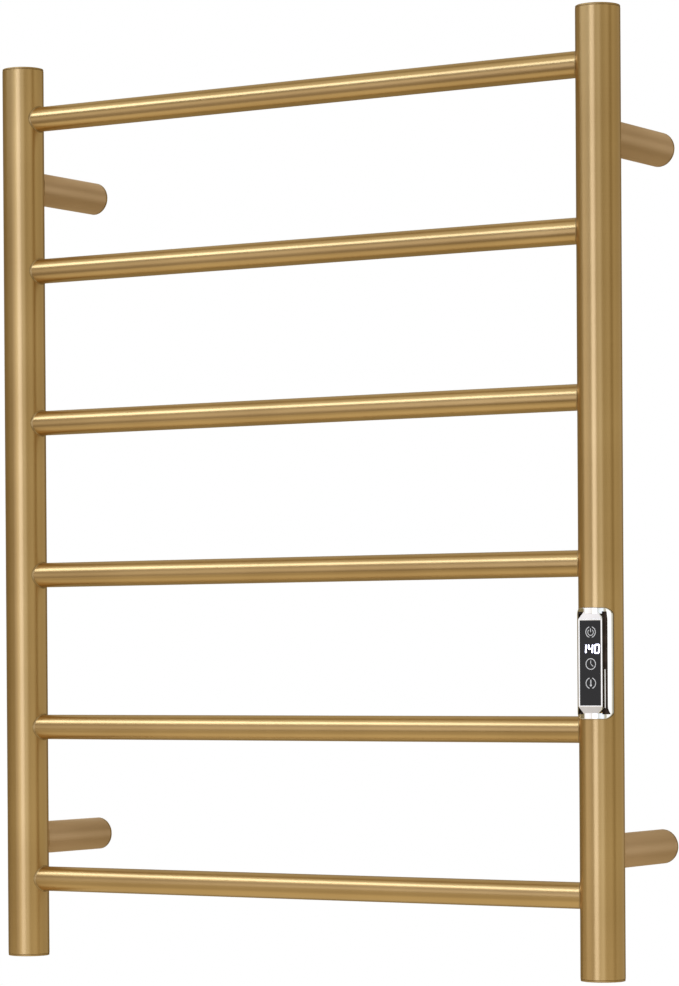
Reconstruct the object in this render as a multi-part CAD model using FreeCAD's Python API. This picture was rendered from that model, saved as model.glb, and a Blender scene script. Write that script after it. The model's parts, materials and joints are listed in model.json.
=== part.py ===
"""Wall-mounted electric towel warmer: a welded ladder of round tube on four stand-offs, with a touch control.

Millimetres. X runs across the rack, +Y points into the wall, +Z is up. The origin is the centre of the four
wall screws, on the wall plane, so the whole rack lies at y <= 0 and its front faces -Y.
"""

import FreeCAD, Part
import math
import os
from FreeCAD import Vector

# Ladder frame
POST_SPACING = 500.0
POST_R = 16.0
POST_WALL = 1.2
RACK_HEIGHT = 690.0
BAR_COUNT = 6
BAR_R = 9.5
BAR_WALL = 1.0
TOP_BAR_DROP = 40.0
BOTTOM_BAR_RISE = 60.0
WELD_SIZE = 0.9
SEAM = 0.02
OVERSHOOT = 1.2

# End caps
CAP_THICK = 1.5
CAP_CHAMFER = 0.4
CAP_SPIGOT = 8.0
CAP_WALL = 1.5

# Stand-offs and wall bases
WALL_GAP = 97.0
STANDOFF_Z = 254.0
STANDOFF_R = 12.5
STANDOFF_WALL = 2.0
BASE_FLANGE = 1.5
BOSS_R = 10.4
BOSS_LENGTH = 24.0
WALL_SCREW_R = 2.5
SCREW_HEAD_R = 4.8
SCREW_SEAT_Y = -9.0
GRUB_Y = -13.0
GRUB_R = 2.45
GRUB_HOLE_R = 2.5
GRUB_FLAT = 8.0
GRUB_TIP_GAP = 0.05
GRUB_RECESS = 0.2
HEX_KEY = 2.5
HEX_KEY_DEPTH = 2.0
ENTRY_HALF_W = 2.6
ENTRY_LOW = 5.6

# Control on the right post
CONTROL_Z = -120.0
FLANGE_HALF_W = 13.8
FLANGE_HALF_H = 39.3
FLANGE_CORNER = 5.0
FLANGE_R = 17.2
GASKET_R = 16.3
FACE_DEPTH = 17.8
FACE_HALF_W = 9.3
FACE_HALF_H = 31.2
SHOULDER_DEPTH = 16.4
SHOULDER_HALF_W = 9.8
SHOULDER_HALF_H = 36.4
SHOULDER_CORNER = 4.5
GLASS_HALF_W = 8.1
GLASS_HALF_H = 29.8
GLASS_THICK = 0.9
GLASS_CORNER = 0.4
GLASS_GAP = 0.05
RECESS_Y = -16.85
SPIGOT_GAP = 0.1
HOUSING_WALL = 1.35
GASKET_MARGIN = 0.6
WINDOW_HALF_W = 9.3
WINDOW_HALF_H = 33.3
WINDOW_CORNER = 3.0
FACE_CORNER = 0.6
FOOT_GROWTH = 1.2
FOOT_DEPTH = 11.0
KEY_HEIGHTS = (22.1, -0.4, -13.9)
DISPLAY_Z = 10.3
LIP = 0.5
CAVITY_DEPTH = 16.4
SPRING_HALF_W = 1.6
SPRING_PROFILE = (
    (-2.6, -14.87),
    (-0.4, -14.87),
    (0.5, -16.66),
    (2.6, -16.66),
    (2.6, -16.86),
    (0.38, -16.86),
    (-0.52, -15.07),
    (-2.6, -15.07),
)

# Inside the control: each box is x, y and z limits about the control's centre
CONTROL_BOXES = {
    "display_board": ((-7.6, 7.6), (-14.85, -13.85), (-29, 29)),
    "led_display": ((-6.2, 6.2), (-16.85, -14.87), (DISPLAY_Z - 4.2, DISPLAY_Z + 4.2)),
    "touch_controller": ((-2.5, 2.5), (-13.83, -12.85), (-7, -2)),
    "power_board": ((-8.8, 8.8), (0.2, 1.8), (-31, 31)),
    "terminal_block": ((-2.8, 8.4), (-8.8, 0.18), (-24, -15)),
    "relay": ((-7.5, 2.5), (-10, 0.18), (-13, 5)),
    "transformer": ((-7.5, 7.5), (-9.5, 0.18), (7, 19.8)),
    "element_connector": ((2.5, 8.5), (-8.8, 0.18), (22, 29)),
    "sensor_plug": ((-3.9, -0.3), (-4.0, 0.18), (26.9, 30.8)),
}
FUSE_R = 2.2
FUSE_ENDS = ((5.6, -2.4, -13), (5.6, -2.4, 5))
CAPACITOR_R = 3.0
CAPACITOR_ENDS = ((-3.4, -9, 23), (-3.4, 0.18, 23))
PILLAR_R = 1.5
PILLAR_X = -6.0
PILLAR_SPAN = (-13.83, 0.18)
PILLAR_HEIGHTS = (-27.4, 27.4)

# Wiring, as lanes (x, y) measured from a post's own axis
CABLE_R = 2.25
CABLE_BEND = 13.0
LANE_X = 6.5
LANE_Y = 5.5
WIRE_HOLE_R = 8.3
MAINS_R = 2.2
MAINS_RISE = 8.0
MAINS_POST_RISE = 2.0
MAINS_BEND = 14.0
MAINS_LEVEL_Y = -34.0
MAINS_DROP_Y = -68.0
CABLE_START_Z = -176.0
SPLICE_END_Z = -160.0
LOWER_LEAD_TOP_Z = -144.0
UPPER_LEAD_END_Z = -91.0
CUTOUT_LOW_Z = -58.0
CUTOUT_HIGH_Z = -42.0
SPLICE_R = 3.0
ELEMENT_LEAD_R = 0.9
CUTOUT_HALF_W = 3.2
CUTOUT_HALF_D = 2.2
PROBE_X = -11.5
PROBE_Y = -4.0
PROBE_R = 1.8
PROBE_LOW_Z = -70.0
PROBE_HIGH_Z = -56.0
SENSOR_LEAD_R = 0.7
SENSOR_LEAD_BEND = 3.0
SENSOR_LEAD_ROUTE = (
    (PROBE_X, PROBE_Y, PROBE_LOW_Z),
    (PROBE_X, PROBE_Y, -75),
    (-2, -2, -84),
    (-2, -2, -89.2),
)
EARTH_LEAD_R = 0.9
EARTH_LEAD_BEND = 6.0
EARTH_ROUTE = (
    (-3.2, -1.2, -144),
    (-3.2, -1.2, -160),
    (-6.0, 0, -185),
    (-6.0, 0, -262),
    (0, 10.5, -290),
    (0, 10.5, -306),
)
EARTH_Z = -318.0
STUD_R = 2.0
STUD_START_Y = 6.0
STUD_END_Y = 14.6
NUT_Y = 7.0
NUT_ACROSS_FLATS = 7.0
NUT_THICK = 2.98
NUT_HOLE_R = 2.05
LUG_Y = 10.0
LUG_THICK = 1.0
LUG_R = 4.2
LUG_HOLE_R = 2.1
LUG_TONGUE_HALF_W = 1.5
LUG_TONGUE_Z = (-315, -306)

AXIS_Y = -WALL_GAP
HALF_SPACING = POST_SPACING / 2
TOP = RACK_HEIGHT / 2
POST_INNER = POST_R - POST_WALL
BAR_INNER = BAR_R - BAR_WALL
STANDOFF_INNER = STANDOFF_R - STANDOFF_WALL
BAR_PITCH = (RACK_HEIGHT - TOP_BAR_DROP - BOTTOM_BAR_RISE) / (BAR_COUNT - 1)
BAR_HEIGHTS = [TOP - TOP_BAR_DROP - i * BAR_PITCH for i in range(BAR_COUNT)]
SIDES = {"left": -1, "right": 1}
ENDS = {"top": 1, "bottom": -1}
X_AXIS = Vector(1, 0, 0)
Y_AXIS = Vector(0, 1, 0)
Z_AXIS = Vector(0, 0, 1)
CONTROL_ORIGIN = Vector(HALF_SPACING, AXIS_Y, CONTROL_Z)
CONTROL_AXIS = (Vector(0, 0, -TOP), Vector(0, 0, TOP))


def rod(radius, start, end):
    """Solid cylinder between two points."""
    run = end - start
    return Part.makeCylinder(radius, run.Length, start, run)


def pipe(outer, inner, start, end):
    """Tube between two points, open at both ends."""
    return rod(outer, start, end).cut(rod(inner, start, end))


def block(x0, x1, y0, y1, z0, z1):
    return Part.makeBox(x1 - x0, y1 - y0, z1 - z0, Vector(x0, y0, z0))


def post_axis(side, z0=-TOP, z1=TOP):
    x = SIDES[side] * HALF_SPACING
    return Vector(x, AXIS_Y, z0), Vector(x, AXIS_Y, z1)


def post_envelope(extra=SEAM):
    """Both posts as solid rods, to cope the tubes that meet them."""
    left = rod(POST_R + extra, *post_axis("left"))
    return left.fuse(rod(POST_R + extra, *post_axis("right")))


def rounded_outline(half_w, half_h, corner, y):
    """Closed rounded rectangle about the Y axis, in the plane at y."""
    arcs = []
    for sx, sz in ((1, 1), (-1, 1), (-1, -1), (1, -1)):
        centre = Vector(sx * (half_w - corner), y, sz * (half_h - corner))
        along_x = X_AXIS * (sx * corner)
        along_z = Z_AXIS * (sz * corner)
        diagonal = (along_x + along_z) * math.sqrt(0.5)
        first, last = (along_x, along_z) if sx == sz else (along_z, along_x)
        arcs.append((centre + first, centre + diagonal, centre + last))
    edges = []
    for arc, following in zip(arcs, arcs[1:] + arcs[:1]):
        edges.append(Part.Arc(*arc).toShape())
        edges.append(Part.LineSegment(arc[-1], following[0]).toShape())
    return Part.Wire(edges)


def rounded_prism(half_w, half_h, corner, y0, y1):
    face = Part.Face(rounded_outline(half_w, half_h, corner, y0))
    return face.extrude(Vector(0, y1 - y0, 0))


def route(points, bend):
    """Straight runs through the points, joined by tangent arcs of the bend radius."""
    edges = []
    here = points[0]
    for before, corner, after in zip(points, points[1:], points[2:]):
        back = (before - corner).normalize()
        ahead = (after - corner).normalize()
        half_angle = back.getAngle(ahead) / 2
        setback = bend / math.tan(half_angle)
        centre = corner + (back + ahead).normalize() * (bend / math.sin(half_angle))
        start = corner + back * setback
        end = corner + ahead * setback
        middle = centre + (corner - centre).normalize() * bend
        edges.append(Part.LineSegment(here, start).toShape())
        edges.append(Part.Arc(start, middle, end).toShape())
        here = end
    edges.append(Part.LineSegment(here, points[-1]).toShape())
    return Part.Wire(edges)


def lead(points, bend, radius):
    """Round wire or cable along a route."""
    path = route(points, bend) if len(points) > 2 else Part.Wire(Part.LineSegment(*points).toShape())
    start = points[0]
    profile = Part.Wire(Part.Circle(start, points[1] - start, radius).toShape())
    solid = path.makePipeShell([profile], True, False)
    expected = math.pi * radius**2 * path.Length
    if abs(solid.Volume / expected - 1) > 0.01:
        raise ValueError("the lead's volume is not its section times its length")
    return solid


def hexagon_prism(across_flats, centre, up, run):
    """Hexagonal prism that starts at centre, with two corners on the X line through it."""
    radius = across_flats / math.sqrt(3)
    corners = []
    for step in range(7):
        angle = math.radians(60 * step)
        corners.append(centre + X_AXIS * (radius * math.cos(angle)) + up * (radius * math.sin(angle)))
    return Part.Face(Part.makePolygon(corners)).extrude(run)


def from_axis(side, x, y, z):
    """Point given by its offset from a post's axis, at height z."""
    return Vector(SIDES[side] * HALF_SPACING + x, AXIS_Y + y, z)


def at_control(shape):
    return shape.translated(CONTROL_ORIGIN)


def make_post(side):
    """Post tube with a wire hole at each bar; the right one also has the control window and mains hole."""
    ends = TOP - CAP_THICK
    tube = pipe(POST_R, POST_INNER, *post_axis(side, -ends, ends))
    inward = -SIDES[side]
    for z in BAR_HEIGHTS:
        centre = from_axis(side, 0, 0, z)
        tube = tube.cut(rod(WIRE_HOLE_R, centre, centre + X_AXIS * (inward * POST_R * OVERSHOOT)))
    if side == "right":
        window = rounded_prism(WINDOW_HALF_W, WINDOW_HALF_H, WINDOW_CORNER, -OVERSHOOT * POST_R, 0)
        tube = tube.cut(at_control(window))
        rear = from_axis(side, 0, 0, -STANDOFF_Z)
        tube = tube.cut(rod(WIRE_HOLE_R, rear, rear + Y_AXIS * (POST_R * OVERSHOOT)))
    return tube


def make_bar(z):
    """Horizontal tube, coped at both ends to sit on the posts."""
    start = Vector(-HALF_SPACING, AXIS_Y, z)
    end = Vector(HALF_SPACING, AXIS_Y, z)
    return pipe(BAR_R, BAR_INNER, start, end).cut(post_envelope())


def weld_ring(branch_r, start, end, side):
    """Bead where a branch tube meets a post."""
    bead = rod(branch_r + WELD_SIZE, start, end).common(rod(POST_R + WELD_SIZE, *post_axis(side)))
    return bead.cut(rod(branch_r + SEAM, start, end)).cut(rod(POST_R + SEAM, *post_axis(side)))


def make_bar_welds():
    beads = []
    for side in SIDES:
        for z in BAR_HEIGHTS:
            centre = from_axis(side, 0, 0, z)
            beads.append(weld_ring(BAR_R, centre, centre - X_AXIS * (SIDES[side] * 2 * POST_R), side))
    return Part.makeCompound(beads)


def make_standoff_welds():
    beads = []
    for side in SIDES:
        for end in ENDS.values():
            centre = from_axis(side, 0, 0, end * STANDOFF_Z)
            beads.append(weld_ring(STANDOFF_R, centre, centre + Y_AXIS * (2 * POST_R), side))
    return Part.makeCompound(beads)


def make_cap(side, end):
    """End cap: a chamfered disc with a hollow spigot that presses into the post."""
    sign = ENDS[end]
    outer = from_axis(side, 0, 0, sign * TOP)
    shoulder = outer - Z_AXIS * (sign * CAP_CHAMFER)
    seat = outer - Z_AXIS * (sign * CAP_THICK)
    chamfered = Part.makeCone(POST_R, POST_R - CAP_CHAMFER, CAP_CHAMFER, shoulder, Z_AXIS * sign)
    disc = rod(POST_R, seat, shoulder).fuse(chamfered)
    spigot_r = POST_INNER - SEAM
    tip = seat - Z_AXIS * (sign * CAP_SPIGOT)
    return disc.fuse(pipe(spigot_r, spigot_r - CAP_WALL, seat, tip)).removeSplitter()


def make_standoff(side, end):
    """Round stand-off tube, coped to the post, with a tapped hole for the grub screw on its underside."""
    z = ENDS[end] * STANDOFF_Z
    start = from_axis(side, 0, 0, z)
    finish = Vector(start.x, -BASE_FLANGE, z)
    tube = pipe(STANDOFF_R, STANDOFF_INNER, start, finish).cut(post_envelope())
    hole = Vector(start.x, GRUB_Y, z)
    return tube.cut(rod(GRUB_HOLE_R, hole, hole - Z_AXIS * (STANDOFF_R * OVERSHOOT)))


def make_wall_base(side, end):
    """Wall base: a thin flange and a boss, bored for one countersunk screw, flat where the grub bears."""
    x = SIDES[side] * HALF_SPACING
    z = ENDS[end] * STANDOFF_Z
    wall = Vector(x, 0, z)
    back = Vector(x, -BASE_FLANGE, z)
    tip = Vector(x, -BASE_FLANGE - BOSS_LENGTH, z)
    seat = Vector(x, SCREW_SEAT_Y, z)
    cone_length = SCREW_HEAD_R - WALL_SCREW_R
    base = rod(STANDOFF_R, back, wall).fuse(rod(BOSS_R, tip, back))
    base = base.cut(rod(WALL_SCREW_R, tip, wall)).cut(rod(SCREW_HEAD_R, tip, seat))
    base = base.cut(Part.makeCone(SCREW_HEAD_R, WALL_SCREW_R, cone_length, seat, Y_AXIS))
    flat = block(x - BOSS_R, x + BOSS_R, tip.y, -BASE_FLANGE, z - BOSS_R, z - GRUB_FLAT)
    base = base.cut(flat)
    if (side, end) == ("right", "bottom"):
        base = base.cut(block(x - ENTRY_HALF_W, x + ENTRY_HALF_W, tip.y, 0, z + ENTRY_LOW, z + BOSS_R))
    return base


def make_grub_screw(side, end):
    """Hexagon socket set screw, its tip on the boss's flat."""
    x = SIDES[side] * HALF_SPACING
    z = ENDS[end] * STANDOFF_Z
    tip = Vector(x, GRUB_Y, z - GRUB_FLAT - GRUB_TIP_GAP)
    head = Vector(x, GRUB_Y, z - STANDOFF_R + GRUB_RECESS)
    screw = rod(GRUB_R, tip, head)
    socket = hexagon_prism(HEX_KEY, head, Y_AXIS, Z_AXIS * HEX_KEY_DEPTH)
    return screw.cut(socket)


def make_bezel():
    """Chromed control housing: a sharp face on a rounded shoulder, and a flange that hugs the post."""
    face = rounded_outline(FACE_HALF_W, FACE_HALF_H, FACE_CORNER, -FACE_DEPTH)
    shoulder = rounded_outline(SHOULDER_HALF_W, SHOULDER_HALF_H, SHOULDER_CORNER, -SHOULDER_DEPTH)
    foot = rounded_outline(SHOULDER_HALF_W + FOOT_GROWTH, SHOULDER_HALF_H, SHOULDER_CORNER, -FOOT_DEPTH)
    raised = Part.makeLoft([face, shoulder], True, True).fuse(Part.makeLoft([shoulder, foot], True, True))
    flange_plate = rounded_prism(FLANGE_HALF_W, FLANGE_HALF_H, FLANGE_CORNER, -2 * POST_R, 0)
    flange = flange_plate.common(rod(FLANGE_R, *CONTROL_AXIS))
    housing = raised.fuse(flange).cut(rod(GASKET_R + SEAM, *CONTROL_AXIS))
    spigot_half_w = WINDOW_HALF_W - SPIGOT_GAP
    spigot_half_h = WINDOW_HALF_H - SPIGOT_GAP
    spigot = rounded_prism(spigot_half_w, spigot_half_h, WINDOW_CORNER - SPIGOT_GAP, -GASKET_R, -FOOT_DEPTH)
    housing = housing.fuse(spigot)
    cavity_half_w = spigot_half_w - HOUSING_WALL
    cavity_half_h = spigot_half_h - 2 * HOUSING_WALL
    cavity = rounded_prism(cavity_half_w, cavity_half_h, 2 * LIP, -CAVITY_DEPTH, -FOOT_DEPTH + 1)
    opening = rounded_prism(GLASS_HALF_W - LIP, GLASS_HALF_H - LIP, LIP, -FACE_DEPTH, -FOOT_DEPTH)
    recess_half_w = GLASS_HALF_W + GLASS_GAP
    recess_half_h = GLASS_HALF_H + GLASS_GAP
    recess = rounded_prism(recess_half_w, recess_half_h, GLASS_CORNER + GLASS_GAP, -FACE_DEPTH - 1, RECESS_Y)
    return at_control(housing.cut(cavity).cut(opening).cut(recess).removeSplitter())


def make_gasket():
    """Silicone seal between the bezel's flange and the post."""
    half_w = FLANGE_HALF_W - GASKET_MARGIN
    half_h = FLANGE_HALF_H - GASKET_MARGIN
    outline = rounded_prism(half_w, half_h, FLANGE_CORNER - GASKET_MARGIN, -2 * POST_R, 0)
    seal = outline.common(pipe(GASKET_R, POST_R + SEAM, *CONTROL_AXIS))
    return at_control(seal.cut(rounded_prism(WINDOW_HALF_W, WINDOW_HALF_H, WINDOW_CORNER, -2 * POST_R, 0)))


def make_touch_springs():
    """One bent strip behind each touch key, with its foot on the display board and its pad under the glass."""
    springs = []
    for height in KEY_HEIGHTS:
        corners = [Vector(x, y, height - SPRING_HALF_W) for x, y in SPRING_PROFILE]
        strip = Part.Face(Part.makePolygon(corners + corners[:1])).extrude(Z_AXIS * (2 * SPRING_HALF_W))
        springs.append(at_control(strip))
    return Part.makeCompound(springs)


def control_box(limits):
    (x0, x1), (y0, y1), (z0, z1) = limits
    return at_control(block(x0, x1, y0, y1, z0, z1))


def control_rod(radius, start, end):
    return at_control(rod(radius, Vector(*start), Vector(*end)))


def in_right_post(route_points):
    return [from_axis("right", *point) for point in route_points]


def cable_lane(z):
    """Point at height z in the right post's own lane for the heating cable."""
    return from_axis("right", LANE_X, -LANE_Y, z)


def make_heating_cable():
    """One silicone heating cable, threaded through all the bars from the bottom one to the top one."""
    bottom, top = BAR_HEIGHTS[-1], BAR_HEIGHTS[0]
    rising = BAR_HEIGHTS[-2:0:-1]
    points = [
        cable_lane(CABLE_START_Z),
        cable_lane(bottom),
        from_axis("left", -LANE_X, -LANE_Y, bottom),
    ]
    side, other = "left", "right"
    for z in rising:
        points.append(from_axis(side, SIDES[side] * LANE_X, LANE_Y, z))
        points.append(from_axis(other, SIDES[other] * LANE_X, LANE_Y, z))
        side, other = other, side
    points.append(from_axis("left", -LANE_X, -LANE_Y, top))
    points.append(cable_lane(top))
    points.append(cable_lane(CUTOUT_HIGH_Z))
    return lead(points, CABLE_BEND, CABLE_R)


def make_element_leads():
    lower = rod(ELEMENT_LEAD_R, cable_lane(SPLICE_END_Z), cable_lane(LOWER_LEAD_TOP_Z))
    upper = rod(ELEMENT_LEAD_R, cable_lane(CUTOUT_LOW_Z), cable_lane(UPPER_LEAD_END_Z))
    return Part.makeCompound([lower, upper])


def make_mains_lead():
    """Supply lead from the wall, through the lower right stand-off, to the terminal block."""
    height = -STANDOFF_Z + MAINS_RISE
    post_height = -STANDOFF_Z + MAINS_POST_RISE
    points = [
        Vector(HALF_SPACING, 0, height),
        Vector(HALF_SPACING, MAINS_LEVEL_Y, height),
        Vector(HALF_SPACING, MAINS_DROP_Y, post_height),
        from_axis("right", 0, -LANE_Y, post_height),
        from_axis("right", 0, -LANE_Y, LOWER_LEAD_TOP_Z),
    ]
    return lead(points, MAINS_BEND, MAINS_R)


def make_earth_lug():
    """Ring terminal on the earth stud, with a tongue up to the earth lead."""
    centre = from_axis("right", 0, LUG_Y, EARTH_Z)
    back = centre + Y_AXIS * LUG_THICK
    low, high = LUG_TONGUE_Z
    tongue = block(
        centre.x - LUG_TONGUE_HALF_W, centre.x + LUG_TONGUE_HALF_W, centre.y, back.y, low, high
    )
    return rod(LUG_R, centre, back).fuse(tongue).cut(rod(LUG_HOLE_R, centre, back)).removeSplitter()


def make_earth_nut():
    centre = from_axis("right", 0, NUT_Y, EARTH_Z)
    nut = hexagon_prism(NUT_ACROSS_FLATS, centre, Z_AXIS, Y_AXIS * NUT_THICK)
    return nut.cut(rod(NUT_HOLE_R, centre, centre + Y_AXIS * (2 * NUT_THICK)))


def all_parts():
    parts = {"left_post": make_post("left"), "right_post": make_post("right")}
    for number, z in enumerate(BAR_HEIGHTS, 1):
        parts[f"bar_{number}"] = make_bar(z)
    parts["bar_welds"] = make_bar_welds()
    parts["standoff_welds"] = make_standoff_welds()
    for side in SIDES:
        for end in ENDS:
            parts[f"{side}_post_{end}_cap"] = make_cap(side, end)
            parts[f"standoff_{end}_{side}"] = make_standoff(side, end)
            parts[f"wall_base_{end}_{side}"] = make_wall_base(side, end)
            parts[f"grub_screw_{end}_{side}"] = make_grub_screw(side, end)
    parts["control_bezel"] = make_bezel()
    parts["control_gasket"] = make_gasket()
    glass_front = -FACE_DEPTH + GLASS_GAP
    glass_back = -FACE_DEPTH + GLASS_THICK
    glass = rounded_prism(GLASS_HALF_W, GLASS_HALF_H, GLASS_CORNER, glass_front, glass_back)
    parts["control_glass"] = at_control(glass)
    for name, limits in CONTROL_BOXES.items():
        parts[name] = control_box(limits)
    parts["touch_springs"] = make_touch_springs()
    front, back = PILLAR_SPAN
    pillars = [control_rod(PILLAR_R, (PILLAR_X, front, z), (PILLAR_X, back, z)) for z in PILLAR_HEIGHTS]
    parts["board_pillars"] = Part.makeCompound(pillars)
    parts["fuse"] = control_rod(FUSE_R, *FUSE_ENDS)
    parts["capacitor"] = control_rod(CAPACITOR_R, *CAPACITOR_ENDS)
    parts["heating_cable"] = make_heating_cable()
    parts["element_splice"] = rod(SPLICE_R, cable_lane(CABLE_START_Z), cable_lane(SPLICE_END_Z))
    cutout = cable_lane(CUTOUT_LOW_Z)
    parts["thermal_cutout"] = block(
        cutout.x - CUTOUT_HALF_W,
        cutout.x + CUTOUT_HALF_W,
        cutout.y - CUTOUT_HALF_D,
        cutout.y + CUTOUT_HALF_D,
        CUTOUT_LOW_Z,
        CUTOUT_HIGH_Z,
    )
    parts["element_leads"] = make_element_leads()
    parts["mains_lead"] = make_mains_lead()
    parts["earth_lead"] = lead(in_right_post(EARTH_ROUTE), EARTH_LEAD_BEND, EARTH_LEAD_R)
    stud = in_right_post(((0, STUD_START_Y, EARTH_Z), (0, STUD_END_Y, EARTH_Z)))
    parts["earth_stud"] = rod(STUD_R, *stud)
    parts["earth_lug"] = make_earth_lug()
    parts["earth_nut"] = make_earth_nut()
    probe = in_right_post(((PROBE_X, PROBE_Y, PROBE_LOW_Z), (PROBE_X, PROBE_Y, PROBE_HIGH_Z)))
    parts["sensor_probe"] = rod(PROBE_R, *probe)
    parts["sensor_lead"] = lead(in_right_post(SENSOR_LEAD_ROUTE), SENSOR_LEAD_BEND, SENSOR_LEAD_R)
    return parts


def main():
    os.makedirs("parts", exist_ok=True)
    for name, shape in all_parts().items():
        if not shape.isValid():
            raise ValueError(f"{name} is not a valid shape")
        shape.exportStep(f"parts/{name}.step")


main()
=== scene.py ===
import json
import math

import bmesh
import bpy
from mathutils import Matrix, Vector

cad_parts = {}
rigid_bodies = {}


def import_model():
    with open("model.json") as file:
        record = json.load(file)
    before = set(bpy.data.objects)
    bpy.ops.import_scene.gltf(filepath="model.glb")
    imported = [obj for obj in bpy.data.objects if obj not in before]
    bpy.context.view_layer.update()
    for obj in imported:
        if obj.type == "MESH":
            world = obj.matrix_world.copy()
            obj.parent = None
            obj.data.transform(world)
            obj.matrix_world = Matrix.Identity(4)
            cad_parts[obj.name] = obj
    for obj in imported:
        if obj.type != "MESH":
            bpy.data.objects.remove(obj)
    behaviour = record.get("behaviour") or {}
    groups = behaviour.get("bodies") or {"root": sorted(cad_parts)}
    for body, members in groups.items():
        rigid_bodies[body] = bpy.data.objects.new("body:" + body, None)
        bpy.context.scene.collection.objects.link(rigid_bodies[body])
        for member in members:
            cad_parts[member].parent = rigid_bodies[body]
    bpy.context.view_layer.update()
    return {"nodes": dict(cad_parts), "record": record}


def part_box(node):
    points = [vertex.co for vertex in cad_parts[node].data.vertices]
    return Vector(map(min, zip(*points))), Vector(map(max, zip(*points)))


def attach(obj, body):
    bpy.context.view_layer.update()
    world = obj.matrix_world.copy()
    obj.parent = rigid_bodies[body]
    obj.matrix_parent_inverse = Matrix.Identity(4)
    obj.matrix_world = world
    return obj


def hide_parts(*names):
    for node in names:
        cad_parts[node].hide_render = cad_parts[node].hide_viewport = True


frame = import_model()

MM = 0.001
SEGMENTS = 144
RACK = "rack"
SIDES = {"left": -1, "right": 1}
TAU = 2 * math.pi

# Sizes that the CAD nodes give
post_low, post_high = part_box("right_post")
POST_R = (post_high.x - post_low.x) / 2
POST_X = (post_high.x + post_low.x) / 2
AXIS_Y = (post_high.y + post_low.y) / 2
bar_low, bar_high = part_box("bar_1")
BAR_R = (bar_high.z - bar_low.z) / 2
off_low, off_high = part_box("standoff_top_right")
OFF_R = (off_high.z - off_low.z) / 2
BAR_NAMES = ["bar_%d" % number for number in range(1, 7)]
OFF_NAMES = ["standoff_%s_%s" % (end, side) for end in ("top", "bottom") for side in SIDES]

# Sizes of the visual detail
POST_WALL = 1.2 * MM
BAR_WALL = 1.0 * MM
OFF_WALL = 2.0 * MM
EDGE = 0.25 * MM
BEAD = 0.75 * MM
BEAD_STEPS = 8
BEAD_GAP = 0.004 * MM
BEAD_ROOT = 0.3 * MM
BEAD_REACH = BEAD * 1.3
TUBE_GAP = 0.01 * MM
HOLE = 0.02 * MM


# ------------------------------------------------------------------ mesh helpers


def centre_of(node):
    low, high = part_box(node)
    return (low + high) / 2


def make_object(name, verts, faces, material, smooth=True, sharp_angle=None):
    mesh = bpy.data.meshes.new(name)
    mesh.from_pydata([tuple(v) for v in verts], [], faces)
    mesh.validate()
    built = bmesh.new()
    built.from_mesh(mesh)
    bmesh.ops.recalc_face_normals(built, faces=built.faces)
    built.to_mesh(mesh)
    built.free()
    for polygon in mesh.polygons:
        polygon.use_smooth = smooth
    if sharp_angle is not None:
        mesh.set_sharp_from_angle(angle=math.radians(sharp_angle))
    mesh.materials.append(material)
    obj = bpy.data.objects.new(name, mesh)
    bpy.context.scene.collection.objects.link(obj)
    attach(obj, RACK)
    return obj


def bridge_loops(loops):
    """Faces between neighbouring rings of equal length, the last ring joined to the first."""
    count = len(loops[0])
    faces = []
    for a in range(len(loops)):
        b = (a + 1) % len(loops)
        for i in range(count):
            j = (i + 1) % count
            faces.append((a * count + i, a * count + j, b * count + j, b * count + i))
    return faces


def shell(name, loops, material, sharp_angle):
    """A closed ring-shaped solid: its section is the loops in order, and the last joins the first."""
    verts = [point for loop in loops for point in loop]
    return make_object(name, verts, bridge_loops(loops), material, True, sharp_angle)


def angles(count=SEGMENTS):
    return [TAU * index / count for index in range(count)]


def saddle(radius, angle):
    """How far from the post's axis a tube of that radius meets the post, at that angle round the tube."""
    return math.sqrt(max(POST_R**2 - (radius * math.cos(angle)) ** 2, 0))


# ------------------------------------------------------------------ materials


class Nodes:
    """Small helper that builds a node tree."""

    def __init__(self, tree):
        self.tree = tree
        tree.nodes.clear()

    def add(self, kind, **settings):
        node = self.tree.nodes.new(kind)
        for key, value in settings.items():
            setattr(node, key, value)
        return node

    def link(self, source, target):
        self.tree.links.new(source, target)

    def math(self, operation, a, b=None, c=None):
        node = self.add("ShaderNodeMath", operation=operation)
        for socket, value in zip(node.inputs, (a, b, c)):
            if value is None:
                continue
            if isinstance(value, (int, float)):
                socket.default_value = value
            else:
                self.link(value, socket)
        return node.outputs[0]

    def ramp(self, factor, stops):
        """Colour ramp. A stop is a place and a grey level or a colour."""
        node = self.add("ShaderNodeValToRGB")
        elements = node.color_ramp.elements
        for element, (position, colour) in zip(elements, stops):
            element.position = position
            if isinstance(colour, (int, float)):
                colour = (colour, colour, colour)
            element.color = (*colour, 1)
        self.link(factor, node.inputs[0])
        return node.outputs[0]


def new_material(name):
    """A material with one principled shader joined to its output."""
    material = bpy.data.materials.new(name)
    material.use_nodes = True
    nodes = Nodes(material.node_tree)
    output = nodes.add("ShaderNodeOutputMaterial")
    shader = nodes.add("ShaderNodeBsdfPrincipled")
    nodes.link(shader.outputs[0], output.inputs[0])
    return material, nodes, shader


def coordinates(nodes, scale):
    source = nodes.add("ShaderNodeTexCoord")
    mapping = nodes.add("ShaderNodeMapping")
    mapping.inputs["Scale"].default_value = scale
    nodes.link(source.outputs["Object"], mapping.inputs["Vector"])
    return mapping.outputs["Vector"]


def noise(nodes, vector, scale, detail=3.0, roughness=0.6):
    node = nodes.add("ShaderNodeTexNoise")
    node.inputs["Scale"].default_value = scale
    node.inputs["Detail"].default_value = detail
    node.inputs["Roughness"].default_value = roughness
    nodes.link(vector, node.inputs["Vector"])
    return node.outputs["Fac"]


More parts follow.
